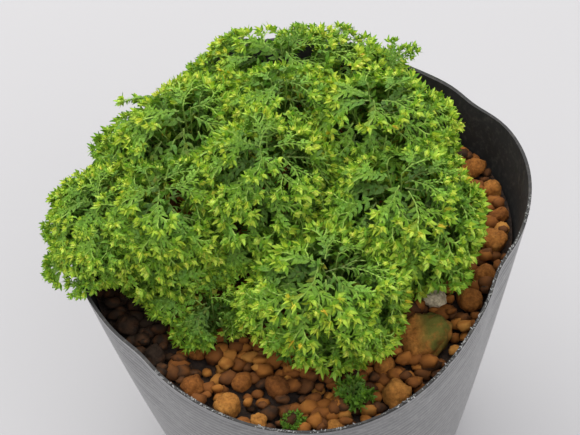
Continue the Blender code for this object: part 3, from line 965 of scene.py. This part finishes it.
# Each single lump is its solid's own mesh, rounded, chipped, swollen and roughened.
SWELLING = 0.16
ROUGHNESS = 0.08
granules = [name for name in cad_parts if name.startswith("clay_granule")]
taken = []
for name in sorted(granules):
    chance = random.Random(name)
    low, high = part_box(name)
    centre = (low + high) / 2
    radius = max(high - low) / 2
    taken.append((centre.x, centre.y, radius))
    bm = bmesh.new()
    bm.from_mesh(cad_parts[name].data)
    bmesh.ops.remove_doubles(bm, verts=bm.verts, dist=0.00001)
    bmesh.ops.subdivide_edges(bm, edges=bm.edges, cuts=1, use_grid_fill=True, smooth=1.0)
    chip(bm, chance, centre, radius, 3 if name.endswith("large") else 7)
    bmesh.ops.subdivide_edges(bm, edges=bm.edges, cuts=1, use_grid_fill=True)
    bm.normal_update()
    for vert in bm.verts:
        swelling = SWELLING * noise.noise(vert.co * 380)
        roughness = ROUGHNESS * noise.fractal(vert.co * 1100, 1.0, 2.0, 3)
        vert.co += vert.normal * radius * (swelling + roughness)
    tone = tone_with_painted_shadow(chance.uniform(0.45, 0.95), centre.x)
    tone_map(bm, bm.loops.layers.uv.new(TONES), tone, centre, radius, 0)
    finish = mossy_clay if name.endswith("large") else fired_clay
    lump = new_piece(name.replace("clay_granule", "clay_lump"), bm, finish)
    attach(lump, "root")
    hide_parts(name)

low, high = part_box("pumice_granule")
taken.append(((low.x + high.x) / 2, (low.y + high.y) / 2, (high.x - low.x) / 2))


# The finer crumbs lie in shifted rows over the whole mix, with more dropped on top near the wall.
CRUMB_SHAPES = 8
PITCH = 0.0023
ROWS = range(-21, 22)
ROW_SPACING = 0.87
TOP_CRUMBS = 520
TOP_REACH = 0.044


def crumb(number):
    """A small broken lump, 1 in radius, of a few dozen faces."""
    chance = random.Random(300 + number)
    bm = bmesh.new()
    bmesh.ops.create_uvsphere(bm, u_segments=7, v_segments=5, radius=1)
    shift = Vector((number * 3.1, 0, 0))
    for vert in bm.verts:
        vert.co *= 1 + 0.45 * noise.noise(vert.co * 1.3 + shift)
    chip(bm, chance, Vector((0, 0, 0)), 1, 5)
    return bm


crumbs = [crumb(number) for number in range(CRUMB_SHAPES)]
chance = random.Random(5)
bed = bmesh.new()
bed.loops.layers.uv.new(FRESHNESS)
spots = []
for row in ROWS:
    for column in ROWS:
        x = (column + 0.5 * (row % 2) + chance.uniform(-0.3, 0.3)) * PITCH
        y = (row * ROW_SPACING + chance.uniform(-0.3, 0.3)) * PITCH
        spots.append((x, y, chance.uniform(0.0010, 0.0019), chance.uniform(-0.0003, 0.0009)))
for _ in range(TOP_CRUMBS):
    turn = chance.uniform(0, 2 * math.pi)
    reach = TOP_REACH * math.sqrt(chance.uniform(0.15, 1))
    spots.append((reach * math.cos(turn), reach * math.sin(turn), chance.uniform(0.0009, 0.0017), 0.0016))
for x, y, radius, rise in spots:
    angle, reach = math.atan2(y, x), math.hypot(x, y)
    if reach > wall_radius(angle, MIX_LEVEL) - FILM - radius * 0.9:
        continue
    if any(math.hypot(x - a, y - b) < c + radius * 0.15 for a, b, c in taken):
        continue
    lump = crumbs[chance.randrange(CRUMB_SHAPES)].copy()
    flat = chance.uniform(0.65, 0.95)
    angle = chance.uniform(0, 6.28)
    turn = Matrix.Rotation(angle, 3, Vector((chance.gauss(0, 1), chance.gauss(0, 1), 1)))
    centre = Vector((x, y, MIX_LEVEL + 0.0006 + rise + radius * 0.3))
    bmesh.ops.transform(lump, matrix=turn, space=Matrix.Identity(4), verts=lump.verts)
    half_sizes = (radius * chance.uniform(0.9, 1.25), radius * chance.uniform(0.65, 1), radius * flat)
    bmesh.ops.scale(lump, vec=half_sizes, verts=lump.verts)
    bmesh.ops.translate(lump, vec=centre, verts=lump.verts)
    tone = tone_with_painted_shadow(chance.choice((0.15, 0.35, 0.5, 0.6, 0.75, 0.9)) + chance.uniform(-0.1, 0.08), x)
    tone_map(lump, lump.loops.layers.uv.new(FRESHNESS), tone, centre, radius, 0.25)
    mesh = bpy.data.meshes.new("crumb")
    lump.to_mesh(mesh)
    lump.free()
    bed.from_mesh(mesh)
    bpy.data.meshes.remove(mesh)
for shape in crumbs:
    shape.free()
gravel = new_piece("fine_granules", bed, fine_clay)
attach(gravel, "root")

# ---------------------------------------------------------------- pumice granule
# One pale granule of pumice, a glassy volcanic foam, came in with the mix. It lies loose on top of
# it, beside the plant.

PUMICE_ROUGHNESS = 0.00025
pumice, nodes, links, shader, place = nodes_of("pumice", 0.8)
pits = grain(nodes, links, place, 1500, 6, 0.7)
tone = ramp(nodes, links, pits, (0.35, (0.34, 0.27, 0.17)), (0.60, (0.72, 0.62, 0.43)))
links.new(tone, shader.inputs["Base Color"])
bump(nodes, links, shader, pits, 0.8, 0.0003)
low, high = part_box("pumice_granule")
bm = bmesh.new()
bm.from_mesh(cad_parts["pumice_granule"].data)
bmesh.ops.remove_doubles(bm, verts=bm.verts, dist=0.00001)
bmesh.ops.subdivide_edges(bm, edges=bm.edges, cuts=3, use_grid_fill=True, smooth=1.0)
for vert in bm.verts:
    vert.co += vert.normal * PUMICE_ROUGHNESS * noise.fractal(vert.co * 1100, 1.0, 2.0, 4)
pale = new_piece("pumice_lump", bm, pumice)
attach(pale, "root")
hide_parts("pumice_granule")

# ---------------------------------------------------------------- potting mix
# The damp bulk of the mix fills the pot under the loose granules: crushed clay and compost, darker and
# finer than they are. Its solid is kept as it is, with its own material.

mix, nodes, links, shader, place = nodes_of("damp mix", 0.9)
tone = ramp(
    nodes, links, grain(nodes, links, place, 700, 8, 0.7),
    (0.35, (0.010, 0.006, 0.004)),
    (0.55, (0.030, 0.015, 0.008)),
    (0.72, (0.100, 0.045, 0.018)),
)
links.new(tone, shader.inputs["Base Color"])
bump(nodes, links, shader, grain(nodes, links, place, 900, 8, 0.7), 1.0, 0.0006)
mix_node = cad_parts["potting_mix"]
mix_node.data.materials.clear()
mix_node.data.materials.append(mix)
